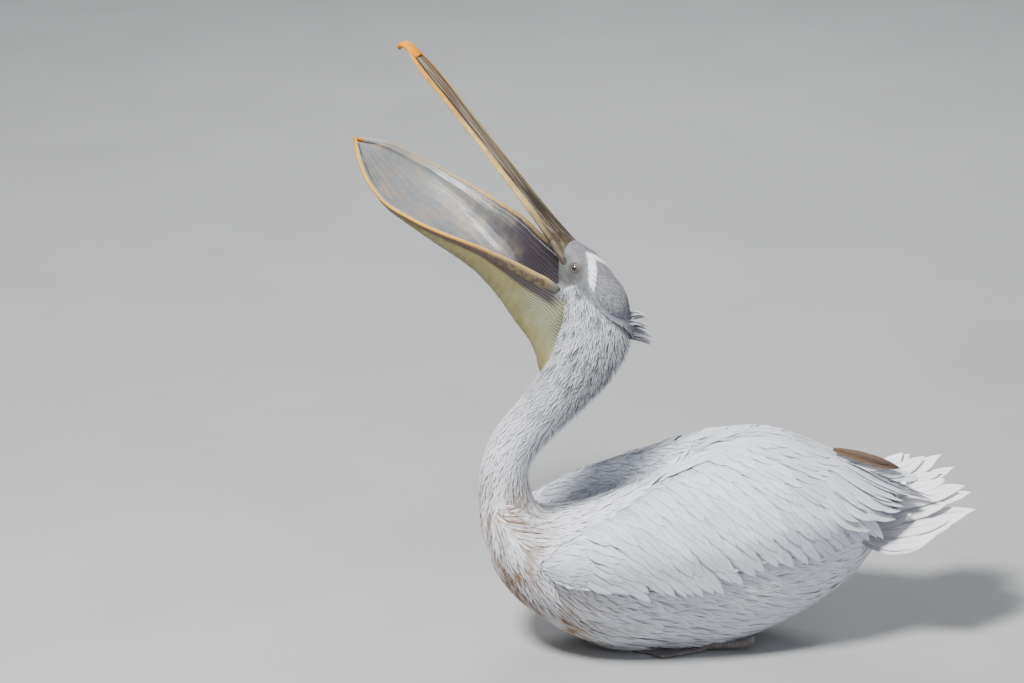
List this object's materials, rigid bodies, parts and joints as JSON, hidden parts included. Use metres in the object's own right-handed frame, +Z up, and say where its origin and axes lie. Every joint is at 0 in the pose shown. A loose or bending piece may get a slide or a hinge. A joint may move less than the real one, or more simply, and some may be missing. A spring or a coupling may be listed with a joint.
{
  "type": "pelican",
  "caption": "Life-size still model of a grey-white pelican resting on its belly, bill thrown up and open with the throat pouch spread.",
  "frame": {"origin": "the middle of the flat of the belly, on the surface the bird rests on", "axes": "+Z up, the bird faces -X, its left side is -Y and the plane Y = 0 is the middle of its body; the head is turned to its right, towards +Y"},
  "size_m": [0.9783, 0.4617, 0.9858],
  "materials": {
    "plumage": "matte white-grey feathers",
    "grey_plumage": "matte short grey feathers",
    "quills": "satin white quill feathers with thin dark shafts",
    "bill_horn": "satin grey-brown and yellow horn",
    "nail_horn": "satin orange horn",
    "pouch_skin": "soft wrinkled bare skin, yellow-olive outside and blue-grey inside",
    "eye": "wet, pale grey-yellow iris with a small dark pupil",
    "foot_skin": "scaly dark grey bare skin"
  },
  "bodies": {
    "root": {"trunk": "plumage", "neck_lower": "plumage", "neck_upper": "plumage", "head": "grey_plumage", "crest": "grey_plumage", "wing_left": "plumage", "wing_right": "plumage", "quills_left": "quills", "quills_right": "quills", "tail": "quills", "bill_upper": "bill_horn", "bill_lower": "bill_horn", "bill_nail": "nail_horn", "pouch": "pouch_skin", "eye_left": "eye", "eye_right": "eye", "foot_left": "foot_skin", "foot_right": "foot_skin"}
  },
  "joints": []
}
